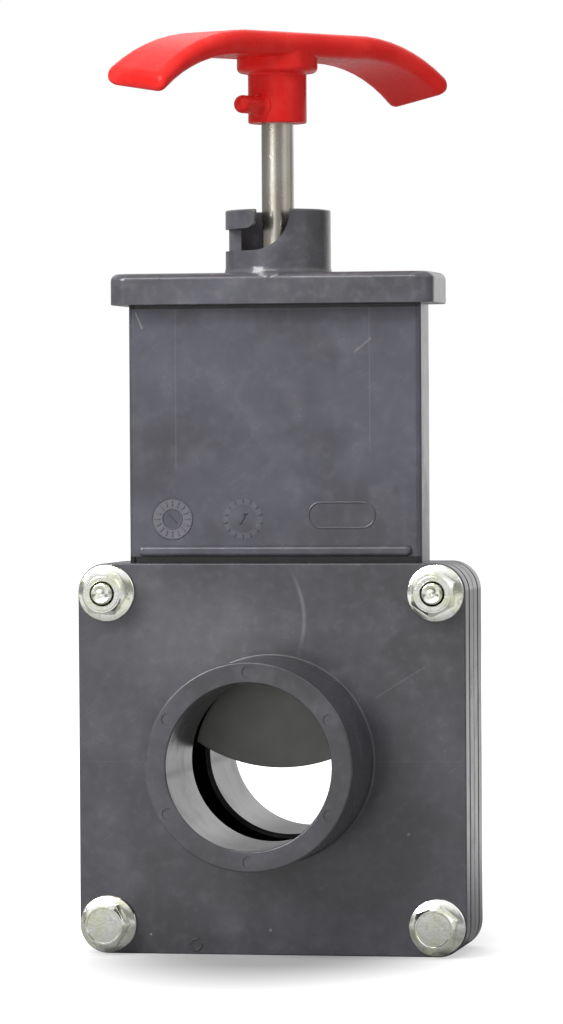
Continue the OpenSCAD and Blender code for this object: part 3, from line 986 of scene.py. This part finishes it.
def grey_plastic(name, violet, face=0, marks=(), rings=(), weld_and_sheen=False, tone=1.0, wear_and_sheen=1.0):
    """Dark grey moulded plastic: a violet cast, cloudy handling haze, dark smudges and a few scratches.

    Marks and rings lie on the front, as far from y = 0 as face says. FRONT_MARKS and INSERTS below
    say what their numbers are. Only the bonnet has rings, and with them painted shade, near black, in its two
    seams.
    The weld adds a pale halo up and left of the spigot, a painted reflection, and the cap's lighter, hazier
    copy is a painted sheen.
    """
    finish = Finish(name)
    clouds = finish.noise(24, 4.0)
    patches = finish.noise(8, 5.0)
    mottle = finish.noise(2.6, 4.0)
    pale = (0.084 * tone, 0.083 * tone, 0.088 * tone + 0.020 * violet)
    deep = (0.058 * tone, 0.058 * tone, 0.060 * tone + 0.008 * violet)
    colour = finish.mix(finish.step(clouds, 0.36, 0.64), deep, pale)
    haze = finish.step(patches, 0.45, 0.75)
    # Paler haze and mottle; raised for the cap, where it is partly a painted sheen.
    pale_wear_and_sheen = haze * 0.12 * wear_and_sheen + finish.step(mottle, 0.45, 0.75) * 0.11 * wear_and_sheen
    colour = finish.mix(pale_wear_and_sheen, colour, (0.19, 0.189, 0.21))
    smudge = finish.step(finish.noise(5, 4.0, lean=35), 0.58, 0.8)
    colour = finish.mix(smudge * 0.3, colour, (0.04, 0.04, 0.041))
    hair = finish.noise(0.5, 2.0, (0.06, 1, 1.6), 33) * finish.step(clouds, 0.45, 0.6)
    scratch = finish.step(hair, 0.62, 0.7)
    colour = finish.mix(scratch * 0.16, colour, (0.22, 0.22, 0.23))
    relief = finish.noise(0.4, 3.0) * 0.05 + mottle * 0.35 + patches * 0.7
    if marks:
        x, y, z = finish.axes()
        on_front = 1 - finish.step(y, 0.1 - face, 0.4 - face)
        on_front = on_front * finish.step(y, -0.6 - face, -0.4 - face)
        line = finish.weld_line(x, z) * 0.3 if weld_and_sheen else 0.0
        for start, end, width, strength in marks:
            line = finish.line(x, z, start, end, width) * strength + line
        if weld_and_sheen:
            # Pale halo up and left of the spigot: a painted reflection of the light on the plate, not part of
            # the weld line.
            near = ((x + 17) ** 2.0 + ((z - 77) * 1.6) ** 2.0) ** 0.5
            line = (1 - finish.step(near, 4.0, 30.0)) * (0.12 + mottle * 0.12) + line
        for middle, inner, outer, lighter in rings:
            away = ((x - middle[0]) ** 2.0 + (z - middle[1]) ** 2.0) ** 0.5
            band = finish.step(away, inner - 0.3, inner) * (1 - finish.step(away, outer - 0.4, outer))
            line = band * lighter + line
        line = line * on_front
        colour = finish.mix(line, colour, (0.3, 0.3, 0.32))
        relief = relief + line * 0.5
    if rings:
        # Near black below the bar and above the top seam: painted shade in the recesses under the bar and the
        # cap.
        painted_seam_shade = 1 - finish.step(z, BAR_LOW - 0.1, BAR_LOW + 0.2)
        painted_seam_shade = painted_seam_shade + finish.step(z, TOP_SEAM_LOW - 0.1, TOP_SEAM_LOW + 0.1)
        colour = finish.mix(painted_seam_shade * 0.9, colour, (0.006, 0.006, 0.006))
    rough = 0.15 + patches * 0.08 + haze * 0.08
    inputs = {"Base Color": colour, "Roughness": rough, "Normal": finish.bump(relief, 0.07 * wear_and_sheen)}
    inputs["IOR"] = 1.52
    return finish.close(inputs)


def black_rubber():
    """Smooth black rubber, a little dusty."""
    finish = Finish("black_rubber")
    dust = finish.step(finish.noise(5, 5.0), 0.5, 0.8)
    colour = finish.mix(dust * 0.3, (0.004, 0.004, 0.004), (0.02, 0.02, 0.02))
    relief = finish.noise(0.5, 2.0)
    inputs = {"Base Color": colour, "Roughness": 0.5 + dust * 0.2, "Normal": finish.bump(relief, 0.01)}
    inputs["Specular IOR Level"] = 0.0
    return finish.close(inputs)


def gate_plastic():
    """Satin grey-olive gate, with drag marks up and down."""
    finish = Finish("gate_plastic")
    clouds = finish.noise(14, 4.0)
    drag = finish.noise(0.8, 3.0, (1, 1, 0.03))
    colour = finish.mix(finish.step(clouds, 0.35, 0.7), (0.180, 0.182, 0.168), (0.240, 0.240, 0.224))
    colour = finish.mix(finish.step(drag, 0.6, 0.8) * 0.3, colour, (0.26, 0.26, 0.24))
    rough = 0.3 + clouds * 0.15
    inputs = {"Base Color": colour, "Roughness": rough, "Normal": finish.bump(drag, 0.012)}
    return finish.close(inputs)


def stainless_steel():
    """Drawn stainless bar: fine lines along it and a warm cast."""
    finish = Finish("stainless_steel")
    drawn = finish.noise(0.25, 3.0, (1, 1, 0.015))
    spots = finish.step(finish.noise(0.9, 4.0, (1, 1, 0.5)), 0.58, 0.75)
    colour = finish.mix(finish.step(finish.noise(12, 3.0), 0.35, 0.7), (0.50, 0.46, 0.38), (0.58, 0.56, 0.51))
    colour = finish.mix(spots * 0.35, colour, (0.36, 0.33, 0.27))
    rough = 0.16 + drawn * 0.12 + spots * 0.15
    inputs = {"Base Color": colour, "Metallic": 1.0, "Roughness": rough}
    inputs["Normal"] = finish.bump(drawn + spots * 0.3, 0.012)
    return finish.close(inputs)


def zinc_steel():
    """Bright zinc plate with a faint yellow-green tint, darker and rougher in random patches."""
    finish = Finish("zinc_steel")
    tint = finish.step(finish.noise(4, 3.0), 0.4, 0.65)
    colour = finish.mix(tint, (0.80, 0.81, 0.77), (0.76, 0.77, 0.62))
    stain = finish.step(finish.noise(1.3, 5.0), 0.5, 0.72)
    colour = finish.mix(stain * 0.5, colour, (0.34, 0.34, 0.28))
    rough = 0.14 + stain * 0.2
    relief = finish.noise(0.5, 4.0) * 0.6 + finish.noise(1.6, 3.0)
    inputs = {"Base Color": colour, "Metallic": 1.0, "Roughness": rough, "Normal": finish.bump(relief, 0.02)}
    return finish.close(inputs)


def red_plastic():
    """Satin red moulded plastic, a little paler where hands rub it."""
    finish = Finish("red_plastic")
    rub = finish.step(finish.noise(6, 5.0), 0.5, 0.8)
    tone = finish.step(finish.noise(15, 3.0), 0.35, 0.7)
    colour = finish.mix(tone, (0.80, 0.022, 0.019), (0.92, 0.036, 0.030))
    colour = finish.mix(rub * 0.2, colour, (0.9, 0.11, 0.10))
    relief = finish.noise(4, 3.0) * 0.8 + finish.noise(0.45, 2.0) * 0.22
    inputs = {"Base Color": colour, "Roughness": 0.27 + rub * 0.12, "Normal": finish.bump(relief, 0.06)}
    inputs["Specular IOR Level"] = 0.12
    return finish.close(inputs)


# ---------- assembly ----------


# Lines and dots: start and end in X and Z, width, and how far they lighten the plastic
FRONT_MARKS = [
    ((-46.5, 46.75), (-26, 46.8), 0.15, 0.07),
    ((26, 47.1), (46.5, 47.2), 0.15, 0.06),
    ((25.7, 62.5), (37.7, 70), 0.2, 0.14),
    ((-1, 84.5), (9, 82.2), 0.2, 0.06),
    ((-30.05, 4.7), (-30.0, 4.8), 0.35, 0.5),
    ((-0.5, 6.0), (-0.4, 6.1), 0.45, 0.5),
    ((33.5, 29.5), (33.7, 29.7), 0.45, 0.4),
]
BONNET_MARKS = [
    ((-24.4, 160), (-24.4, 118), 0.25, 0.1),
    ((23.6, 160), (23.6, 122), 0.25, 0.1),
    ((-34.2, 155.9), (-32.7, 152.3), 0.3, 0.5),
    ((20, 146.1), (23.9, 149.3), 0.35, 0.25),
]

# Pale rings on the date inserts, partly the band's rough texture and partly a painted highlight for raised
# characters that catch the light: middle in X and Z, inner and outer radius, and how far they lighten
INSERTS = [
    ((LEFT_INSERT_X, INSERT_Z), 2.5, 5.1, 0.28),
    ((RIGHT_INSERT_X, INSERT_Z), 3.7, 5.0, 0.1),
]

# Corner, its sides in X and Z, and how far the bolt and the nut are turned, in degrees
FASTENERS = [
    ("top_left", -1, 1, 12, 5),
    ("top_right", 1, 1, 40, 33),
    ("bottom_left", -1, -1, 0, 25),
    ("bottom_right", 1, -1, 20, 8),
]


def build_valve():
    """Every piece that shows, each on its body and in place of its node."""
    plain = grey_plastic("grey_plastic", 0.3, tone=0.85)
    rubber = black_rubber()
    steel = stainless_steel()
    front = body_half()
    rear = mirrored(front, "rear_half", (0, 1, 0))
    join(front, gate_vestige())
    marked = grey_plastic("grey_plastic_front", 0.4, HALF_T, FRONT_MARKS, weld_and_sheen=True, tone=0.8)
    hand_over(front, "front_body", marked)
    hand_over(rear, "rear_body", plain)
    front_ring = seal()
    rear_ring = mirrored(front_ring, "rear_seal_ring", (0, 1, 0))
    hand_over(front_ring, "front_seal", rubber)
    hand_over(rear_ring, "rear_seal", rubber)
    hand_over(gland(), "rod_gland", rubber)
    hand_over(gate(), "gate_blade", gate_plastic())
    marked = grey_plastic("grey_plastic_bonnet", 1.0, BONNET_D / 2, BONNET_MARKS, INSERTS)
    hand_over(bonnet(), "bonnet", marked)
    # Lighter and hazier copy of the plastic for the cap: a painted sheen on its front.
    lit_cap_plastic = grey_plastic("grey_plastic_cap", 0.7, tone=1.15, wear_and_sheen=2.2)
    hand_over(bonnet_cap(), "bonnet_cap", lit_cap_plastic)
    hand_over(rod(), "rod", steel)
    hand_over(handle(), "handle", red_plastic())
    for kept, paint in (("gate_hanger", plain), ("rod_clip", steel)):
        materials = frame["nodes"][kept].data.materials
        materials.clear()
        materials.append(paint)
    build_fasteners(zinc_steel())


def build_fasteners(zinc):
    """A bolt and a nut at each corner. The two upper bolts go in from the back."""
    bolt_pattern = bolt()
    nut_pattern = nut()
    for corner, x, z, bolt_turn, nut_turn in FASTENERS:
        upper = z > 0
        piece = fasten(bolt_pattern, "bolt_" + corner, x, z, bolt_turn, upper)
        hand_over(piece, "bolt_" + corner, zinc, 18)
        piece = fasten(nut_pattern, "nut_" + corner, x, z, -nut_turn, not upper)
        hand_over(piece, "nut_" + corner, zinc, 18)
    bpy.data.objects.remove(bolt_pattern)
    bpy.data.objects.remove(nut_pattern)


# ---------- studio ----------


def floor_finish():
    """Pale floor, white to the camera further off, that keeps the valve's shadow, with a painted shadow round
    the valve as well.

    Reflections see it lit ahead of the valve and behind it.
    """
    finish = Finish("floor")
    diffuse = finish.node("BsdfDiffuse", {}, {"Color": (0.44, 0.44, 0.44, 1)})
    x, y = finish.axes()[:2]
    near = ((x / 52.0) ** 2.0 + (y / 105.0) ** 2.0) ** 0.5
    # Glow is held low inside this oval round the valve and rises outside it: a painted shadow on the floor,
    # beside the shadow the lamps cast.
    glow_with_painted_shadow = finish.step(near, 0.3, 1.45) * 0.9 + 0.13
    behind = finish.step(y, 60.0, 400.0) * finish.step(x * 10.0 + y * 0.5, 0.0, 600.0)
    ahead = 1 - finish.step(y, -250.0, -40.0)
    strength = finish.seen() * glow_with_painted_shadow + finish.ray("Glossy") * (behind * 0.5 + ahead * 0.45)
    light = finish.node("Emission", {}, {"Color": (1, 1, 1, 1), "Strength": strength})
    return finish.end(finish.node("AddShader", {}, {0: diffuse, 1: light}))


def floor():
    """Large flat floor, in squares of 2 m."""
    deselect()
    bpy.ops.mesh.primitive_plane_add(size=12, location=(0, 0, 0))
    sheet = bpy.context.object
    sheet.name = "floor"
    edit(sheet)
    bpy.ops.mesh.subdivide(number_cuts=5)
    take(sheet)
    sheet.data.materials.append(floor_finish())


def lamp(name, place, aim, width, height, power):
    """Soft rectangular lamp, in metres and watts. Only the key and the strip show in reflections."""
    deselect()
    bpy.ops.object.light_add(type="AREA", location=place)
    light = bpy.context.object
    light.name = name
    light.data.shape = "RECTANGLE"
    light.data.size = width
    light.data.size_y = height
    light.data.energy = power
    light.visible_glossy = name in ("key", "strip")
    light.rotation_euler = (Vector(aim) - Vector(place)).to_track_quat("-Z", "Y").to_euler()


def daylight():
    """White all round where it is seen, a soft fill, and a room for reflections.

    The room is brighter above and behind the valve, with a band over eye level and three tall windows.
    """
    sky = Finish("studio", bpy.data.worlds)
    bpy.context.scene.world = sky.material
    x, y, z = sky.split(sky.node("TexCoord", output="Generated"))
    turn = sky.node("Math", {"operation": "ARCTAN2"}, {0: x, 1: y * -1.0})
    backdrop = sky.step(y, 0.6, 0.95) * (sky.step(x, -0.16, 0.08) * 0.65 + 0.1)
    room = backdrop + sky.step(z, 0.3, 0.8) * 0.7 + 0.3
    room = room + sky.step(z, 0.2, 0.35) * (1 - sky.step(z, 0.5, 0.7)) * 0.65
    for middle, strength in ((-24, 0.85), (62, 0.55), (95, 0.3)):
        aside = abs(turn - math.radians(middle))
        room = room + (1 - sky.step(aside, math.radians(4), math.radians(26))) * strength
    seen = sky.seen()
    glossy = sky.ray("Glossy")
    strength = seen + glossy * room + (1 - seen - glossy) * 0.2
    sky.end(sky.node("Background", {}, {"Color": (1, 1, 1, 1), "Strength": strength}), "World")


def camera():
    """Camera a little to the right of the front, at the height of the bonnet."""
    deselect()
    bpy.ops.object.camera_add(location=Vector((233.8, -1238.7, 128.3)) * MM)
    eye = bpy.context.object
    yaw, pitch, roll = (math.radians(turn) for turn in (10.67, -0.96, -0.34))
    aimed = Matrix.Rotation(yaw, 3, "Z") @ Matrix.Rotation(math.pi / 2 + pitch, 3, "X")
    eye.rotation_euler = (aimed @ Matrix.Rotation(roll, 3, "Z")).to_euler()
    eye.data.lens = 181.35
    eye.data.sensor_width = 36
    bpy.context.scene.camera = eye


build_valve()
floor()
lamp("key", (-0.85, -1.2, 0.85), (0, 0, 0.1), 0.6, 0.8, 20)
lamp("front", (0.0, -1.5, 0.1), (0, 0, 0.16), 0.5, 0.4, 4)
lamp("back", (-0.5, 1.2, 0.8), (0, 0, 0.1), 0.9, 0.9, 10)
lamp("strip", (-0.26, -1.25, 1.1), (0, 0, 0.12), 0.7, 0.1, 4)
lamp("right", (1.1, -0.5, 0.4), (0, 0, 0.12), 0.8, 1.0, 1.5)
lamp("top", (0, 0.1, 1.35), (0, 0, 0.1), 1.3, 0.7, 6)
daylight()
camera()
bpy.context.scene.view_settings.view_transform = "Standard"
deselect()
